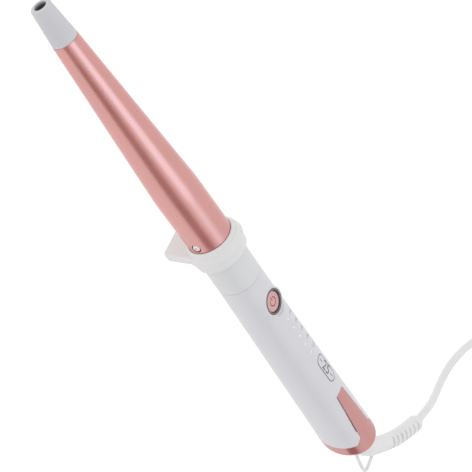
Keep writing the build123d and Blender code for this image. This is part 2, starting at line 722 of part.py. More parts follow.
def corner_radii(points):
    """Largest arc each corner of a route has room for: 0.45 of its shorter run over tan of half its turn."""
    radii = []
    for before, corner, after in zip(points, points[1:], points[2:]):
        turn = radians((corner - before).get_angle(after - corner))
        radii.append(0.45 * min((corner - before).length, (after - corner).length) / tan(turn / 2))
    return radii


def report_tube(name, path, radius, volume, radii):
    """Print a tube's length and radii, and its volume against section times length."""
    length = sum(edge.length for edge in path.edges())
    print(name, "length", round(length, 1), "radii", [round(r, 1) for r in radii],
          "volume share", round(volume / (pi * radius ** 2 * length), 4))


with BuildPart() as cord_sleeve:
    with BuildLine() as sleeve_path:
        FilletPolyline(*SLEEVE_ROUTE, radius=corner_radii(SLEEVE_ROUTE))
    with BuildSketch(Plane(origin=sleeve_path.line @ 0, z_dir=sleeve_path.line % 0)):
        Circle(SLEEVE_R)
    sweep(path=sleeve_path.line)
report_tube("cord_sleeve", sleeve_path.line, SLEEVE_R, cord_sleeve.part.volume, corner_radii(SLEEVE_ROUTE))
cord_sleeve.part.label = "cord_sleeve"
export_step(cord_sleeve.part, "parts/cord_sleeve.step")

LOOP_R = 1.15
LOOP_ROUTE = [
    Vector(181.7, -1.0, 9.6),
    Vector(190.0, -2.6, 8.8),
    Vector(197.6, -3.0, 8.1),
    Vector(198.6, 1.5, 8.1),
    Vector(196.5, 12.0, 9.2),
]
LOOP_RADII = [9, 2.6, 2.6]

with BuildPart() as hanging_loop:
    with BuildLine() as loop_path:
        FilletPolyline(*LOOP_ROUTE, radius=LOOP_RADII)
    with BuildSketch(Plane(origin=loop_path.line @ 0, z_dir=loop_path.line % 0)):
        Circle(LOOP_R)
    sweep(path=loop_path.line)
hanging_loop.part.label = "hanging_loop"
export_step(hanging_loop.part, "parts/hanging_loop.step")

# ---------------------------------------------------------------- mains cord, coil and tie
SWIVEL_CLEARANCE = 1.0
sleeve_end = sleeve_path.line @ 1
sleeve_way = (sleeve_path.line % 1).normalized()

CORD_ROUTE = [
    sleeve_end + sleeve_way * SWIVEL_CLEARANCE,
    Vector(234.9, 66.0, 4.6),
    Vector(241.2, 80.0, CORD_R),
    Vector(241.4, 95.5, CORD_R),
    Vector(244.5, 112.0, CORD_R),
    Vector(251.1, 128.0, CORD_R),
    Vector(260.3, 143.5, CORD_R),
    Vector(272.3, 158.0, CORD_R),
    Vector(286.0, 170.5, CORD_R),
]

with BuildPart() as cord:
    with BuildLine() as cord_path:
        FilletPolyline(*CORD_ROUTE, radius=corner_radii(CORD_ROUTE))
    with BuildSketch(Plane(origin=cord_path.line @ 0, z_dir=cord_path.line % 0)):
        Circle(CORD_R)
    sweep(path=cord_path.line)
report_tube("cord", cord_path.line, CORD_R, cord.part.volume, corner_radii(CORD_ROUTE))
cord.part.label = "cord"
export_step(cord.part, "parts/cord.step")

# The coil is a flat ring of turns side by side, COIL_COLUMNS across and COIL_ROWS high.
# The cord runs into its outermost turn and winds clockwise.
COIL_INNER_R = COIL_MEAN_R - CORD_R * COIL_COLUMNS
COIL_OUTER_R = COIL_MEAN_R + CORD_R * COIL_COLUMNS
COIL_HEIGHT = 2 * CORD_R * COIL_ROWS
coil_entry = cord_path.line @ 1
coil_entry_way = cord_path.line % 1
COIL_CENTRE = coil_entry + Vector(coil_entry_way.Y, -coil_entry_way.X) * (COIL_OUTER_R - CORD_R)

with BuildPart() as cord_coil:
    with BuildSketch(Plane(origin=(COIL_CENTRE.X, COIL_CENTRE.Y, 0))):
        Circle(COIL_OUTER_R)
        Circle(COIL_INNER_R, mode=Mode.SUBTRACT)
    extrude(amount=COIL_HEIGHT)
    fillet(cord_coil.edges(), radius=CORD_R - 0.1)
cord_coil.part.label = "cord_coil"
export_step(cord_coil.part, "parts/cord_coil.step")

TIE_WIDTH = 8.0
TIE_THICKNESS = 0.8
TIE_ANGLE = radians(-75)
tie_way = Vector(cos(TIE_ANGLE), sin(TIE_ANGLE))
tie_plane = Plane(origin=(COIL_CENTRE.X, COIL_CENTRE.Y, 0), x_dir=tie_way, z_dir=(tie_way.Y, -tie_way.X, 0))

with BuildPart() as coil_tie:
    with BuildSketch(tie_plane):
        with Locations((COIL_MEAN_R, COIL_HEIGHT / 2 + TIE_THICKNESS / 2)):
            RectangleRounded(COIL_OUTER_R - COIL_INNER_R + 2 * TIE_THICKNESS, COIL_HEIGHT + TIE_THICKNESS, 2.8)
            RectangleRounded(COIL_OUTER_R - COIL_INNER_R, COIL_HEIGHT - TIE_THICKNESS, 2.2, mode=Mode.SUBTRACT)
    extrude(amount=TIE_WIDTH / 2, both=True)
coil_tie.part.label = "coil_tie"
export_step(coil_tie.part, "parts/coil_tie.step")

# ---------------------------------------------------------------- tail of the cord and its plug
# The tail leaves the outermost turn of the top row and ends level in a flat two-pin plug.
PLUG_WIDTH = 35.3
PLUG_FLAT_WIDTH = 26.1
PLUG_THICKNESS = 13.7
PLUG_STRAIGHT = 12.0
PLUG_TAPER = 18.0
PLUG_NECK = 6.0
PIN_R = 2.0
PIN_LENGTH = 19.0
PIN_PITCH = 18.6
PLUG_LEVEL = PLUG_THICKNESS / 2
TAIL_ANGLE = radians(42.4)
tail_start = COIL_CENTRE + Vector(cos(TAIL_ANGLE), sin(TAIL_ANGLE)) * (COIL_OUTER_R - CORD_R)

TAIL_ROUTE = [
    Vector(tail_start.X, tail_start.Y, COIL_HEIGHT - CORD_R),
    Vector(348.2, 158.6, 6.4),
    Vector(357.0, 147.5, 6.0),
    Vector(363.3, 134.5, PLUG_LEVEL),
    Vector(366.9, 120.8, PLUG_LEVEL),
]

with BuildPart() as cord_tail:
    with BuildLine() as tail_path:
        FilletPolyline(*TAIL_ROUTE, radius=corner_radii(TAIL_ROUTE))
    with BuildSketch(Plane(origin=tail_path.line @ 0, z_dir=tail_path.line % 0)):
        Circle(CORD_R)
    sweep(path=tail_path.line)
report_tube("cord_tail", tail_path.line, CORD_R, cord_tail.part.volume, corner_radii(TAIL_ROUTE))
cord_tail.part.label = "cord_tail"
export_step(cord_tail.part, "parts/cord_tail.step")

plug_rear = Plane(origin=tail_path.line @ 1, x_dir=(tail_path.line % 1).cross(Vector(0, 0, 1)),
                  z_dir=tail_path.line % 1)


def plug_section(place, width, flat_width, thickness):
    """Six-sided section across the plug."""
    with BuildSketch(place) as section:
        with BuildLine():
            Polyline((width / 2, 0), (flat_width / 2, thickness / 2), (-flat_width / 2, thickness / 2),
                     (-width / 2, 0), (-flat_width / 2, -thickness / 2), (flat_width / 2, -thickness / 2),
                     close=True)
        make_face()
    return section.sketch


plug_front = plug_rear.offset(PLUG_NECK + PLUG_TAPER + PLUG_STRAIGHT)
rear_section = plug_section(plug_rear.offset(PLUG_NECK), 12.0, 8.6, 9.0)
full_section = plug_section(plug_rear.offset(PLUG_NECK + PLUG_TAPER), PLUG_WIDTH, PLUG_FLAT_WIDTH, PLUG_THICKNESS)

with BuildPart() as plug_body:
    loft([rear_section, full_section])
    extrude(full_section, amount=PLUG_STRAIGHT)
    fillet(plug_body.faces().sort_by(Axis.Y)[0].edges(), radius=0.8)
    with BuildSketch(plug_rear):
        Circle(3.8)
    extrude(amount=PLUG_NECK + 1)
plug_body.part.label = "plug_body"
export_step(plug_body.part, "parts/plug_body.step")

with BuildPart() as plug_pins:
    with BuildSketch(plug_front):
        with Locations((-PIN_PITCH / 2, 0), (PIN_PITCH / 2, 0)):
            Circle(PIN_R)
    extrude(amount=PIN_LENGTH)
    fillet(plug_pins.faces().filter_by(GeomType.PLANE).sort_by(Axis.Y)[0:2].edges(), radius=1.4)
plug_pins.part.label = "plug_pins"
export_step(plug_pins.part, "parts/plug_pins.step")
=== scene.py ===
import json
import math
import bmesh
import bpy
from mathutils import Matrix, Quaternion, Vector


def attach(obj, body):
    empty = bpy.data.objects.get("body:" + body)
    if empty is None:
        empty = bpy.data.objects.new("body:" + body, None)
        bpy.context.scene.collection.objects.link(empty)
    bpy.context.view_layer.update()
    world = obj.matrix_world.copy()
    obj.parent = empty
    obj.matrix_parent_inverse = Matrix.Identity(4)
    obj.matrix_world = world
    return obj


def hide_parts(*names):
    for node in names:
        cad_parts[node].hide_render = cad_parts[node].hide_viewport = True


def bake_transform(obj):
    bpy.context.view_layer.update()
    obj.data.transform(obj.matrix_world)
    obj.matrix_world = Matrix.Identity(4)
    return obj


# %% [markdown]
# # A curling wand on a table
#
# The wand is a clipless curling iron: a rose gold cone that heats, a pale tip that stays cool
# enough to hold, a collar with a foot to rest it on, a slim handle with one button and five
# lights, and a mains cord that turns freely in the butt. Its hard parts come from the CAD
# model, which is the fixed frame. This file gives them their finishes and builds what CAD
# leaves plain: the ribbed sleeve, the hanging loop, the cord with its coil, and the printing.

# %% load the frame and keep the CAD model's box
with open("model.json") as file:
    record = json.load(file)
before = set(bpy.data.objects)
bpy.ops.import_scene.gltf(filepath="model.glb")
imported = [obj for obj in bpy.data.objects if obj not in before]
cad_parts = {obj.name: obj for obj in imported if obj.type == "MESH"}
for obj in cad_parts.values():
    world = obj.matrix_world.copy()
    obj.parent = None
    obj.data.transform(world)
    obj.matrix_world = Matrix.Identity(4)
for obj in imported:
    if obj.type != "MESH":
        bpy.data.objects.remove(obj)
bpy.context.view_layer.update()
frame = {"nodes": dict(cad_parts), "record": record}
NODES = frame["nodes"]

# %% [markdown]
# ## Camera
#
# The wand lies flat, but the view wanted here has it standing almost upright, tip at the top
# left and cord at the bottom right. That is a camera that looks down on the table from beyond
# the tip and is rolled by nearly a quarter turn. A camera can be placed by aiming a constraint
# at an empty, but here its place follows from a target point, a heading, a height and a
# distance, as one would set up a tripod, and the roll comes last. The long lens keeps the two
# ends of the wand at almost the same scale.

# %% camera
AIM = Vector((0.0119, 0.0200, 0.0193))
CAMERA_DISTANCE = 0.900
CAMERA_HEADING = math.radians(42.81)
CAMERA_HEIGHT = math.radians(38.65)
CAMERA_ROLL = math.radians(86.32)
CAMERA_ANGLE = math.radians(15.81)

camera_side = Vector((
    -math.cos(CAMERA_HEIGHT) * math.cos(CAMERA_HEADING),
    -math.cos(CAMERA_HEIGHT) * math.sin(CAMERA_HEADING),
    math.sin(CAMERA_HEIGHT),
))
camera = bpy.data.objects.new("camera", bpy.data.cameras.new("camera"))
camera.data.angle = CAMERA_ANGLE
camera.data.clip_start = 0.01
camera.location = AIM + camera_side * CAMERA_DISTANCE
camera.rotation_mode = "QUATERNION"
camera.rotation_quaternion = camera_side.to_track_quat("Z", "Y") @ Quaternion((0, 0, 1), CAMERA_ROLL)
bpy.context.scene.collection.objects.link(camera)
bpy.context.scene.camera = camera
print("lens", round(camera.data.lens, 1), "mm from", [round(c, 3) for c in camera.location])

# %% [markdown]
# ## Lines for flexible parts
#
# The cord, its sleeve and the hanging loop are flexible, so each is drawn as a smooth line
# first. A NURBS spline of order 3 needs only a few points and never kinks. Blender evaluates
# it as a mesh of edges, and the tubes below follow those evaluated points. Ring by ring
# skinning is used in place of a curve's bevel, because a ring can change its radius and shape
# along the way, as the ribs of a strain relief need.

# %% helpers: a smooth line, and a tube around it
MM = 0.001
SPLINE_ORDER = 3


def smooth_line(name, route, resolution):
    """Points in metres along a NURBS spline whose controls are the route's points, in millimetres."""
    curve = bpy.data.curves.new(name, "CURVE")
    curve.dimensions = "3D"
    curve.resolution_u = resolution
    spline = curve.splines.new("NURBS")
    spline.points.add(len(route) - 1)
    for point, place in zip(spline.points, route):
        point.co = (place[0] * MM, place[1] * MM, place[2] * MM, 1)
    spline.order_u = SPLINE_ORDER
    spline.use_endpoint_u = True
    holder = bpy.data.objects.new(name, curve)
    bpy.context.scene.collection.objects.link(holder)
    bpy.context.view_layer.update()
    line = bpy.data.meshes.new_from_object(holder.evaluated_get(bpy.context.evaluated_depsgraph_get()))
    points = [vertex.co.copy() for vertex in line.vertices]
    bpy.data.objects.remove(holder)
    bpy.data.meshes.remove(line)
    return points


def line_length(points):
    return sum((b - a).length for a, b in zip(points, points[1:]))


def add_mesh(name, mesh):
    piece = bpy.data.objects.new(name, mesh)
    bpy.context.scene.collection.objects.link(piece)
    return piece


def tube(name, points, radius, sides, start_side=None):
    """Closed tube along points, in metres.

    The radius is a number, or a function of the distance along and the angle around from start_side.
    """
    mesh = bpy.data.meshes.new(name)
    body = bmesh.new()
    rings = []
    way = (points[1] - points[0]).normalized()
    side = start_side or way.orthogonal()
    distance = 0.0
    for index, point in enumerate(points):
        before = points[max(index - 1, 0)]
        after = points[min(index + 1, len(points) - 1)]
        new_way = (after - before).normalized()
        side = way.rotation_difference(new_way) @ side
        side = (side - new_way * side.dot(new_way)).normalized()
        way = new_way
        up = way.cross(side)
        if index:
            distance += (point - points[index - 1]).length
        ring = []
        for k in range(sides):
            angle = 2 * math.pi * k / sides
            reach = radius(distance, angle) if callable(radius) else radius
            ring.append(body.verts.new(point + (side * math.cos(angle) + up * math.sin(angle)) * reach))
        rings.append(ring)
    for first, second in zip(rings, rings[1:]):
        for k in range(sides):
            body.faces.new((first[k], first[(k + 1) % sides], second[(k + 1) % sides], second[k]))
    body.faces.new(list(reversed(rings[0])))
    body.faces.new(rings[-1])
    for face in body.faces:
        face.smooth = len(face.verts) == 4
    bmesh.ops.recalc_face_normals(body, faces=body.faces)
    body.to_mesh(mesh)
    body.free()
    return add_mesh(name, mesh)


# %% [markdown]
# ## Cord
#
# A two-core mains lead, 5 mm thick and about 1.8 m long. It leaves the ribbed sleeve, sinks to
# the table and curves away. The rest is wound into a flat coil with a tie round it, and it ends
# in a two-pin plug. The coil is worked out by a loop: four turns side by side from the outside
# in on the table, four more on top of them from the inside out, and a quarter turn to spare.
# The cord has to stay joined to the sleeve when the sleeve turns in the butt, but here it is
# one mesh that is not attached to the sleeve's body.

# %% the cord's facts and its route
CORD_R = 2.5
SLEEVE_END = (226.1, 52.5, 7.8)
SLEEVE_ROUTE = [
    (167.28, 0.0, 14.24),
    (180.25, 0.0, 13.36),
    (202.6, 21.0, 11.0),
    (217.6, 38.5, 9.2),
    SLEEVE_END,
]
CORD_START = (225.0, 50.7, 8.0)
CORD_ROUTE = [
    CORD_START,
    (234.9, 66.0, 4.6),
    (241.2, 80.0, CORD_R),
    (241.4, 95.5, CORD_R),
    (244.5, 112.0, CORD_R),
    (251.1, 128.0, CORD_R),
    (260.3, 143.5, CORD_R),
    (272.3, 158.0, CORD_R),
]
COIL_MIDDLE = (311.28, 142.8)
COIL_RADII = (37.5, 32.5, 27.5, 22.5)
COIL_START_ANGLE = math.radians(132.4)
TURN_POINTS = 16
SPARE_POINTS = 4
TAIL_ROUTE = [
    (348.2, 158.6, 6.4),
    (357.0, 147.5, 6.0),
    (363.3, 134.5, 6.85),
    (366.9, 120.8, 6.85),
]

# %% the coil's turns
STEP_SHARE = 0.3

turns = [(radius, CORD_R) for radius in COIL_RADII]
turns += [(radius, 3 * CORD_R) for radius in reversed(COIL_RADII)]
coil_route = []
for step in range(len(turns) * TURN_POINTS + SPARE_POINTS + 1):
    now = min(step // TURN_POINTS, len(turns) - 1)
    share = step / TURN_POINTS - now
    radius, level = turns[now]
    if now + 1 < len(turns):
        next_radius, next_level = turns[now + 1]
        blend = max(0.0, (share - (1 - STEP_SHARE)) / STEP_SHARE)
        radius += (next_radius - radius) * blend
        level += (next_level - level) * blend
    angle = COIL_START_ANGLE - 2 * math.pi * step / TURN_POINTS
    coil_route.append((
        COIL_MIDDLE[0] + radius * math.cos(angle),
        COIL_MIDDLE[1] + radius * math.sin(angle),
        level,
    ))

CORD_RESOLUTION = 6
cord_line = smooth_line("cord_line", CORD_ROUTE + coil_route + TAIL_ROUTE, CORD_RESOLUTION)

# %% the cord
ROUND_SIDES = 14
cord = tube("cord_flex", cord_line, CORD_R * MM, ROUND_SIDES)
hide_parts("cord", "cord_coil", "cord_tail")

# %% [markdown]
# ## Ribbed sleeve and hanging loop
#
# Where the cord leaves the wand, a soft moulded sleeve spreads its bending over some length. Its
# outer half is cut by short slots on two opposite sides, which leave two spines along it and
# let it bend like a backbone. The slots could be cut with booleans, but a sleeve skinned ring
# by ring only needs its radius to drop at each slot, so the mesh stays clean. A thin loop is
# moulded on near the butt, to hang the wand from a hook.

# %% the sleeve
SLEEVE_R = 5.3
SLEEVE_TIP_R = 5.1
SLEEVE_ROUNDING = 0.8
SLOT_COUNT = 7
SLOT_PITCH = 5.4
SLOT_WIDTH = 1.9
SLOT_DEPTH = 2.3
SLOT_EDGE = 0.3
LAST_SLOT = 5.6
SLOT_EDGE_COS = math.cos(math.radians(42))
SLOT_FLOOR_COS = math.cos(math.radians(27))
SLEEVE_RESOLUTION = 130
SLEEVE_SIDES = 64

sleeve_line = smooth_line("sleeve_line", SLEEVE_ROUTE, SLEEVE_RESOLUTION)
SLEEVE_LENGTH = line_length(sleeve_line) / MM


def sleeve_radius(distance, angle):
    """The sleeve's radius: a gentle taper, less a slot on top and underneath."""
    along = distance / MM
    radius = SLEEVE_R + (SLEEVE_TIP_R - SLEEVE_R) * along / SLEEVE_LENGTH
    from_end = SLEEVE_LENGTH - along
    if from_end < SLEEVE_ROUNDING:
        radius -= SLEEVE_ROUNDING - math.sqrt(SLEEVE_ROUNDING ** 2 - (SLEEVE_ROUNDING - from_end) ** 2)
    number = round((from_end - LAST_SLOT) / SLOT_PITCH)
    if 0 <= number < SLOT_COUNT:
        off = abs(from_end - LAST_SLOT - number * SLOT_PITCH)
        depth = min(1.0, max(0.0, (SLOT_WIDTH / 2 - off) / SLOT_EDGE))
        around = (abs(math.cos(angle)) - SLOT_EDGE_COS) / (SLOT_FLOOR_COS - SLOT_EDGE_COS)
        radius -= SLOT_DEPTH * depth * min(1.0, max(0.0, around))
    return radius * MM


sleeve = tube("ribbed_sleeve", sleeve_line, sleeve_radius, SLEEVE_SIDES, start_side=Vector((0, 0, 1)))
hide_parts("cord_sleeve")
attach(sleeve, "swivel")
print("sleeve", round(SLEEVE_LENGTH), "mm long from", len(sleeve_line), "rings")

# %% the hanging loop
LOOP_R = 1.1
LOOP_ROUTE = [
    (182.5, -1.1, 9.7),
    (190.0, -2.6, 8.8),
    (198.2, -3.4, 8.1),
    (199.2, 2.0, 8.1),
    (197.0, 11.0, 9.1),
]
LOOP_RESOLUTION = 12
loop = tube("loop_strand", smooth_line("loop_line", LOOP_ROUTE, LOOP_RESOLUTION), LOOP_R * MM, ROUND_SIDES)
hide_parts("hanging_loop")
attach(loop, "swivel")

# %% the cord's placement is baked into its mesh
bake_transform(cord)

# %% [markdown]
# ## Printing
#
# Beside each light stands its temperature, and a plain size mark sits between the lights and
# the tail: the barrel's 25 mm. Such marks are pad printed, a film of ink on the curved shell.
# An image texture could show them, but letters made as thin geometry stay sharp at any size.
# They start as flat text. That is cut into narrow strips, so that it has enough points to bend,
# and then every point is wrapped onto the handle's cone.

# %% the handle's surface
NECK_R = 12.75
NECK_END_X = 33.2
HANDLE_GROWTH = 0.01815
HANDLE_TILT = math.radians(3.9)
HANDLE_WAY = Vector((math.cos(HANDLE_TILT), 0, -math.sin(HANDLE_TILT)))
HANDLE_UP = Vector((math.sin(HANDLE_TILT), 0, math.cos(HANDLE_TILT)))
HANDLE_ORIGIN = Vector((-11.3, 0, 26.416))
HANDLE_SIDE = Vector((0, 1, 0))
PRINT_LIFT = 0.01
STRIP_WIDTH = 0.6


def handle_radius(x):
    """Radius of the handle's cone at distance x behind the barrel's base, in millimetres."""
    return NECK_R + HANDLE_GROWTH * (x - NECK_END_X)


def on_handle(x, around, lift):
    """Place in metres, at distance x along and angle around from the top towards +Y."""
    out = HANDLE_UP * math.cos(around) + HANDLE_SIDE * math.sin(around)
    return (HANDLE_ORIGIN + HANDLE_WAY * x + out * (handle_radius(x) + lift)) * MM


def wrap_print(name, body, x, around, quarter_turns):
    """Cuts a flat print in millimetres into strips and wraps it onto the handle, then adds it."""
    turn = Matrix.Rotation(quarter_turns * math.pi / 2, 3, "Z")
    bmesh.ops.rotate(body, verts=body.verts, matrix=turn)
    reach = max(abs(vert.co.y) for vert in body.verts)
    cuts = math.ceil(reach / STRIP_WIDTH)
    for cut in range(-cuts, cuts + 1):
        everything = body.verts[:] + body.edges[:] + body.faces[:]
        middle = (0, cut * STRIP_WIDTH, 0)
        bmesh.ops.bisect_plane(body, geom=everything, plane_co=middle, plane_no=(0, 1, 0))
    for vert in body.verts:
        along = x + vert.co.x
        vert.co = on_handle(along, around + vert.co.y / handle_radius(along), PRINT_LIFT + vert.co.z)
    bmesh.ops.recalc_face_normals(body, faces=body.faces)
    mesh = bpy.data.meshes.new(name)
    body.to_mesh(mesh)
    body.free()
    piece = add_mesh(name, mesh)
    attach(piece, "wand")
    return piece


# %% flat text and flat outlines
INK_THICKNESS = 0.04
LETTER_SHARE = 0.7
WELD_DISTANCE = 0.002


def flat_text(words, height):
    """Flat text with letters of about that height in millimetres, its middle at the origin."""
    font = bpy.data.curves.new("words", "FONT")
    font.body = words
    font.size = height / LETTER_SHARE
    font.align_x = "CENTER"
    font.align_y = "CENTER"
    font.extrude = INK_THICKNESS / 2
    font.resolution_u = 3
    holder = bpy.data.objects.new("words", font)
    bpy.context.scene.collection.objects.link(holder)
    bpy.context.view_layer.update()
    flat = bpy.data.meshes.new_from_object(holder.evaluated_get(bpy.context.evaluated_depsgraph_get()))
    body = bmesh.new()
    body.from_mesh(flat)
    bmesh.ops.remove_doubles(body, verts=body.verts, dist=WELD_DISTANCE)
    bpy.data.objects.remove(holder)
    bpy.data.meshes.remove(flat)
    return body


def add_line(body, points, width, closed=False):
    """Adds a flat line of that width through points to body, as a thin solid."""
    count = len(points)
    rows = []
    for index, point in enumerate(points):
        before = points[(index - 1) % count] if closed or index else point
        after = points[(index + 1) % count] if closed or index < count - 1 else point
        way = (after - before).normalized()
        aside = Vector((-way.y, way.x, 0)) * width / 2
        lift = Vector((0, 0, INK_THICKNESS / 2))
        rows.append([body.verts.new(point + a + b) for a, b in (
            (aside, lift), (-aside, lift), (-aside, -lift), (aside, -lift))])
    for index in range(count if closed else count - 1):
        first, second = rows[index], rows[(index + 1) % count]
        for k in range(4):
            body.faces.new((first[k], first[(k + 1) % 4], second[(k + 1) % 4], second[k]))
    if not closed:
        body.faces.new(rows[0])
        body.faces.new(list(reversed(rows[-1])))


# %% temperatures beside the lights
LED_X = 68.6
LED_PITCH = 7.15
DIGITS_AROUND = math.radians(22)
DIGIT_HEIGHT = 1.7
TEMPERATURES = ("130", "150", "170", "190", "210")

prints = []
for number, words in enumerate(TEMPERATURES):
    digits = flat_text(words, DIGIT_HEIGHT)
    x = LED_X + number * LED_PITCH
    prints.append(wrap_print(f"temperature_{words}", digits, x, DIGITS_AROUND, 1))
print("temperatures", [piece.name for piece in prints])

# %% the size mark
MARK_X = 114.3
MARK_AROUND = math.radians(9)
MARK_LENGTH = 20.0
MARK_WIDTH = 7.0
MARK_LINE = 0.5
MARK_HEIGHT = 5.6
MARK_BAR = (5.2, 8.2)
OUTLINE_POINTS = 48

mark = flat_text("25", MARK_HEIGHT)
outline = []
end_r = MARK_WIDTH / 2
straight = (MARK_LENGTH - MARK_WIDTH) / 2
for step in range(OUTLINE_POINTS):
    angle = 2 * math.pi * step / OUTLINE_POINTS
    right_end = step <= OUTLINE_POINTS // 4 or step > OUTLINE_POINTS * 3 // 4
    end = straight if right_end else -straight
    outline.append(Vector((end + end_r * math.cos(angle), end_r * math.sin(angle), 0)))
add_line(mark, outline, MARK_LINE, closed=True)
for side in (-1, 1):
    add_line(mark, [Vector((side * reach, 0, 0)) for reach in MARK_BAR], MARK_LINE)
mark_piece = wrap_print("size_mark_25", mark, MARK_X, MARK_AROUND, 0)

# %% [markdown]
# ## Painted shade beside the tongue
#
# The near edge of the trim's tongue shows a thin dark line: the shade in the narrow gap between
# the trim and the shell. It is painted as a dark line laid over the gap like a print, only on the
# near edge, where the shade shows. It starts at the tongue's corner and ends where the tongue gets wide.

# %% the painted shade in the tongue's gap
GAP_SHADE_START = (133.5, -3.85)
GAP_SHADE_END = (163.5, -6.3)
GAP_SHADE_MIDDLE = (GAP_SHADE_START[0] + GAP_SHADE_END[0]) / 2
GAP_SHADE_WIDTH = 0.55
GAP_SHADE_POINTS = 13

gap_shade_line = []
for step in range(GAP_SHADE_POINTS):
    share = step / (GAP_SHADE_POINTS - 1)
    x = GAP_SHADE_START[0] + (GAP_SHADE_END[0] - GAP_SHADE_START[0]) * share
    y = GAP_SHADE_START[1] + (GAP_SHADE_END[1] - GAP_SHADE_START[1]) * share
    gap_shade_line.append(Vector((x - GAP_SHADE_MIDDLE, handle_radius(x) * math.asin(y / handle_radius(x)), 0)))
# A dark line over the tongue's gap: painted shade for the gap, not a part of the wand.
gap_shade = bmesh.new()
add_line(gap_shade, gap_shade_line, GAP_SHADE_WIDTH)
gap_shade_piece = wrap_print("trim_gap_shade", gap_shade, GAP_SHADE_MIDDLE, 0, 0)

# %% [markdown]
# ## Dark wall and painted shade in the cool tip's hole
#
# The hole in the tip is darkened by a dark tube laid inside it, down to the screw that holds the
# tip: it gives the hole a dark wall and paints in the shade deep in the hole. It could be cut from a
# cylinder, but a part turned on a lathe is most simply made by spinning its profile round the
# barrel's axis. It is a short tube, chamfered at its mouth.

# %% the dark tube in the tip's hole
BARREL_TILT = math.radians(2.2)
BARREL_WAY = Vector((math.cos(BARREL_TILT), 0, -math.sin(BARREL_TILT)))
BARREL_UP = Vector((math.sin(BARREL_TILT), 0, math.cos(BARREL_TILT)))
HOLE_SHADE_FRONT = -160.2
HOLE_SHADE_BACK = -148.3
HOLE_SHADE_R = 3.26
HOLE_SHADE_BORE_R = 2.9
HOLE_SHADE_CHAMFER = (0.3, 0.2)
HOLE_SHADE_SIDES = 48


def turned(name, profile, sides):
    """Ring turned about the barrel's axis from (distance along, radius) points in millimetres."""
    body = bmesh.new()
    rings = []
    for along, radius in profile:
        ring = []
        for k in range(sides):
            angle = 2 * math.pi * k / sides
            out = BARREL_UP * math.cos(angle) + HANDLE_SIDE * math.sin(angle)
            ring.append(body.verts.new((HANDLE_ORIGIN + BARREL_WAY * along + out * radius) * MM))
        rings.append(ring)
    for first, second in zip(rings, rings[1:] + rings[:1]):
        for k in range(sides):
            body.faces.new((first[k], first[(k + 1) % sides], second[(k + 1) % sides], second[k]))
    bmesh.ops.recalc_face_normals(body, faces=body.faces)
    mesh = bpy.data.meshes.new(name)
    body.to_mesh(mesh)
    body.free()
    return add_mesh(name, mesh)


hole_shade_profile = (
    (HOLE_SHADE_FRONT, HOLE_SHADE_BORE_R + HOLE_SHADE_CHAMFER[1]),
    (HOLE_SHADE_FRONT, HOLE_SHADE_R),
    (HOLE_SHADE_BACK, HOLE_SHADE_R),
    (HOLE_SHADE_BACK, HOLE_SHADE_BORE_R),
    (HOLE_SHADE_FRONT + HOLE_SHADE_CHAMFER[0], HOLE_SHADE_BORE_R),
)
# A dark tube inside the tip's hole: a dark wall, and painted shade for the depth of the hole.
hole_shade_tube = turned("tip_hole_shade", hole_shade_profile, HOLE_SHADE_SIDES)
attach(hole_shade_tube, "wand")

# %% [markdown]
# ## Ink in the button's symbol
#
# The power symbol is moulded into the button as a groove, and the groove is filled with dark
# lacquer. A fine rounded bead laid in the groove looks like that, and it moves with the button.

# %% the symbol
BUTTON_X = 53.6
BUTTON_TOP = 11.3
SYMBOL_R = 2.425
BEAD_R = 0.27
SYMBOL_GAP = math.radians(33)
SYMBOL_BAR = (-3.4, -0.8)
ARC_STEPS = 40
BAR_STEPS = 6
BEAD_SIDES = 10


def on_button(x, y):
    """Place in metres on the symbol's groove, x and y in millimetres from the button's middle."""
    height = BUTTON_TOP - BEAD_R
    return (HANDLE_ORIGIN + HANDLE_WAY * (BUTTON_X + x) + HANDLE_UP * height + HANDLE_SIDE * y) * MM


arc = []
for step in range(ARC_STEPS + 1):
    angle = math.pi + SYMBOL_GAP + (2 * math.pi - 2 * SYMBOL_GAP) * step / ARC_STEPS
    arc.append(on_button(SYMBOL_R * math.cos(angle), SYMBOL_R * math.sin(angle)))
bar = []
for step in range(BAR_STEPS + 1):
    bar.append(on_button(SYMBOL_BAR[0] + (SYMBOL_BAR[1] - SYMBOL_BAR[0]) * step / BAR_STEPS, 0))
symbol_pieces = []
for name, points in (("symbol_ring", arc), ("symbol_bar", bar)):
    piece = tube(name, points, BEAD_R * MM, BEAD_SIDES)
    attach(piece, "button")
    symbol_pieces.append(piece)

# %% [markdown]
# ## Room and light
#
# The wand lies on a plain white table in a light tent, so nearly no shadow shows. The table
# glows a little of its own, which does the same as a lit sheet of acrylic: it lifts the
# undersides and keeps the ground white. The rose gold shows what surrounds it. In the studio
# that would be a long soft box overhead, beyond the butt, for the bright band along the barrel,
# and a dark screen low on one side for the dark band next to it. Lamps and cards could stand
# there. Painting both onto the dome has the same effect with less noise, and the wand's long
# shapes only need two numbers for each: how far round the wand's length it is, and how far
# along.

# %% floor
FLOOR_SIZE = 4.0
bpy.ops.mesh.primitive_plane_add(size=FLOOR_SIZE, location=(0, 0, -0.0002))
floor = bpy.context.object
floor.name = "table_top"

floor_paint = bpy.data.materials.new("white_table")
floor_paint.use_nodes = True
floor_shader = floor_paint.node_tree.nodes["Principled BSDF"]
floor_shader.inputs["Base Color"].default_value = (0.16, 0.16, 0.16, 1)
floor_shader.inputs["Roughness"].default_value = 0.9
floor_shader.inputs["Specular IOR Level"].default_value = 0.0
floor_shader.inputs["Emission Color"].default_value = (1, 1, 1, 1)
floor_shader.inputs["Emission Strength"].default_value = 0.95
floor.data.materials.append(floor_paint)

# %% dome of light
scene = bpy.context.scene
scene.view_settings.view_transform = "Standard"
world = bpy.data.worlds.new("dome")
world.use_nodes = True
scene.world = world
sky = world.node_tree
DOME_STRENGTH = 0.92
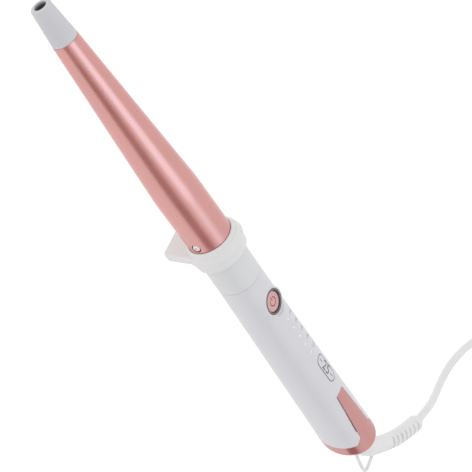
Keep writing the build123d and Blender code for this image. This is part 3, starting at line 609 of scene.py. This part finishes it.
# (degrees round the wand from the -Y horizon, half width in degrees, share along +X, half width)
DARK_SCREEN = (15, 33, 0.60, 0.50)
SOFT_BOX = (77, 27, 0.43, 0.26)
BOX_STRENGTH = 1.55
BOX_COLOR = (0.76, 0.98, 1.18)
PATCH_CORE = 0.5


def sky_math(operation, *values):
    node = sky.nodes.new("ShaderNodeMath")
    node.operation = operation
    for socket, value in zip(node.inputs, values):
        if isinstance(value, (int, float)):
            socket.default_value = value
        else:
            sky.links.new(value, socket)
    return node.outputs[0]


direction = sky.nodes.new("ShaderNodeSeparateXYZ")
sky.links.new(sky.nodes.new("ShaderNodeTexCoord").outputs["Generated"], direction.inputs[0])
turn_round = sky_math("ARCTAN2", direction.outputs["Z"], sky_math("MULTIPLY", direction.outputs["Y"], -1.0))


def sky_patch(degrees, half_width, lean, half_lean, value):
    """Smooth oval patch on the dome: value in its middle, nothing outside."""
    place = sky.nodes.new("ShaderNodeCombineXYZ")
    round_off = sky_math("SUBTRACT", turn_round, math.radians(degrees))
    lean_off = sky_math("SUBTRACT", direction.outputs["X"], lean)
    sky.links.new(sky_math("DIVIDE", round_off, math.radians(half_width)), place.inputs["X"])
    sky.links.new(sky_math("DIVIDE", lean_off, half_lean), place.inputs["Y"])
    reach = sky.nodes.new("ShaderNodeVectorMath")
    reach.operation = "LENGTH"
    sky.links.new(place.outputs["Vector"], reach.inputs[0])
    fade = sky.nodes.new("ShaderNodeMapRange")
    fade.interpolation_type = "SMOOTHSTEP"
    fade.inputs["From Min"].default_value = PATCH_CORE
    fade.inputs["From Max"].default_value = 1.0
    fade.inputs["To Min"].default_value = value
    fade.inputs["To Max"].default_value = 0.0
    sky.links.new(reach.outputs["Value"], fade.inputs["Value"])
    return fade.outputs["Result"]


lit_share = sky_math("SUBTRACT", 1.0, sky_patch(*DARK_SCREEN, 1.0))
dome_part = sky_math("MULTIPLY", lit_share, DOME_STRENGTH)
box_part = sky_patch(*SOFT_BOX, BOX_STRENGTH)
light = sky.nodes.new("ShaderNodeCombineXYZ")
for axis, share in zip("XYZ", BOX_COLOR):
    box_share = sky_math("MULTIPLY", box_part, share)
    sky.links.new(sky_math("ADD", dome_part, box_share), light.inputs[axis])
sky.links.new(light.outputs["Vector"], sky.nodes["Background"].inputs["Color"])
print("dome", DOME_STRENGTH, "with a dark screen and a soft box")

# %% [markdown]
# ## Finishes
#
# Every material starts from the same few nodes: a noise that drifts slowly through the colour,
# as pigment and light wear do, and a fine noise for the grain of the surface as a bump. What
# differs is the scale and strength of each, and the shader's own values for metal, roughness
# and index of refraction. The rose gold could be pure metal, but then its highlights would be
# rose too. Here it is part metal with a high index, so that they stay nearly white. Values that
# don't vary over a piece stay on the shader, and the finish can be carried to other tools.

# %% a maker of finishes
DRIFT_SCALE = 60
ROUGH_DRIFT = 0.04
BUMP_DISTANCE = 0.0005


def finish(name, color, roughness, metallic=0.0, ior=1.5, drift=0.03, grain=0.02, grain_scale=2500,
           stretch=(1, 1, 1)):
    paint = bpy.data.materials.new(name)
    paint.use_nodes = True
    tree = paint.node_tree
    shader = tree.nodes["Principled BSDF"]
    shader.inputs["Metallic"].default_value = metallic
    shader.inputs["IOR"].default_value = ior
    place = tree.nodes.new("ShaderNodeTexCoord")
    mapping = tree.nodes.new("ShaderNodeMapping")
    mapping.inputs["Scale"].default_value = stretch
    tree.links.new(place.outputs["Object"], mapping.inputs["Vector"])
    slow = tree.nodes.new("ShaderNodeTexNoise")
    slow.inputs["Scale"].default_value = DRIFT_SCALE
    slow.inputs["Detail"].default_value = 4
    tree.links.new(mapping.outputs["Vector"], slow.inputs["Vector"])
    ramp = tree.nodes.new("ShaderNodeValToRGB")
    ramp.color_ramp.elements[0].position = 0.3
    ramp.color_ramp.elements[1].position = 0.7
    ramp.color_ramp.elements[0].color = (*[c * (1 - drift) for c in color], 1)
    ramp.color_ramp.elements[1].color = (*[min(1, c * (1 + drift)) for c in color], 1)
    tree.links.new(slow.outputs["Fac"], ramp.inputs["Fac"])
    tree.links.new(ramp.outputs["Color"], shader.inputs["Base Color"])
    gloss = tree.nodes.new("ShaderNodeMapRange")
    gloss.inputs["To Min"].default_value = roughness - ROUGH_DRIFT
    gloss.inputs["To Max"].default_value = roughness + ROUGH_DRIFT
    tree.links.new(slow.outputs["Fac"], gloss.inputs["Value"])
    tree.links.new(gloss.outputs["Result"], shader.inputs["Roughness"])
    fine = tree.nodes.new("ShaderNodeTexNoise")
    fine.inputs["Scale"].default_value = grain_scale
    fine.inputs["Detail"].default_value = 3
    tree.links.new(mapping.outputs["Vector"], fine.inputs["Vector"])
    bump = tree.nodes.new("ShaderNodeBump")
    bump.inputs["Strength"].default_value = grain
    bump.inputs["Distance"].default_value = BUMP_DISTANCE
    tree.links.new(fine.outputs["Fac"], bump.inputs["Height"])
    tree.links.new(bump.outputs["Normal"], shader.inputs["Normal"])
    return paint


FINISHES = {
    "rose_barrel": finish("satin_rose_ceramic", (0.625, 0.205, 0.178), 0.28, metallic=0.25, ior=2.9),
    "rose_plated": finish("rose_plate", (0.53, 0.173, 0.155), 0.22, metallic=0.25, ior=2.73),
    "pale_plastic": finish("pale_satin_plastic", (0.68, 0.66, 0.685), 0.42, drift=0.01, ior=1.5),
    "warm_plastic": finish("warm_white_plastic", (0.75, 0.735, 0.73), 0.45, drift=0.01, ior=1.4),
    "dark_bezel": finish("gunmetal_bezel", (0.18, 0.155, 0.18), 0.25, metallic=0.5),
    "clear_pipe": finish("clear_light_pipe", (0.86, 0.86, 0.87), 0.15, drift=0.01),
    "steel": finish("zinc_steel", (0.80, 0.78, 0.75), 0.32, metallic=0.8, stretch=(1, 8, 1)),
    "aluminium": finish("extruded_aluminium", (0.72, 0.72, 0.74), 0.35, metallic=1.0, stretch=(0.1, 1, 1)),
    "brass": finish("drawn_brass", (0.72, 0.52, 0.24), 0.28, metallic=1.0, stretch=(0.2, 1, 1)),
    "nickel_pins": finish("nickel_plate", (0.72, 0.70, 0.66), 0.18, metallic=1.0),
    "ceramic": finish("fired_ceramic", (0.10, 0.10, 0.11), 0.5, grain=0.1),
    "dark_plastic": finish("black_nylon", (0.03, 0.03, 0.032), 0.5, grain=0.08),
    "board_green": finish("green_solder_resist", (0.03, 0.16, 0.06), 0.3, drift=0.1),
    "white_rubber": finish("white_flex", (0.78, 0.765, 0.765), 0.5, drift=0.02, grain=0.05, ior=1.4),
    "tie_fabric": finish("woven_tie", (0.04, 0.04, 0.045), 0.85, grain=0.5, grain_scale=1200),
}
print("finishes", len(FINISHES))

# %% paint the CAD nodes by their slots
for entry in frame["record"]["subparts"]:
    mesh = NODES[entry["node"]].data
    mesh.materials.clear()
    mesh.materials.append(FINISHES[entry["material_slot"]])

# %% three CAD nodes look a little different from the rest of their slot
NODES["neck_sleeve"].data.materials[0] = finish(
    "neck_plastic", (0.685, 0.68, 0.68), 0.45, drift=0.01)
NODES["power_button"].data.materials[0] = finish(
    "rose_lacquered_button", (0.71, 0.37, 0.36), 0.35, ior=1.6)
NODES["tip_cap"].data.materials[0] = finish(
    "cool_tip_nylon", (0.60, 0.585, 0.61), 0.5, drift=0.02, ior=1.4)

# %% paint the pieces made here
for piece in (cord, sleeve, loop):
    piece.data.materials.append(FINISHES["white_rubber"])
grey_ink = finish("grey_ink", (0.33, 0.29, 0.32), 0.5, drift=0.02)
dark_ink = finish("dark_ink", (0.13, 0.11, 0.12), 0.5, drift=0.02)
lacquer = finish("dark_rose_lacquer", (0.10, 0.03, 0.03), 0.35, drift=0.02)
# The tube in the tip's hole is dark partly for its wall and partly as painted shade.
hole_shade_tube.data.materials.append(finish("painted_hole_shade", (0.10, 0.105, 0.10), 0.55, drift=0.05))
# The dark line over the tongue's gap is painted shade.
gap_shade_piece.data.materials.append(finish("painted_gap_shade", (0.11, 0.06, 0.06), 0.6, drift=0.05))
for piece in prints:
    piece.data.materials.append(grey_ink)
mark_piece.data.materials.append(dark_ink)
for piece in symbol_pieces:
    piece.data.materials.append(lacquer)
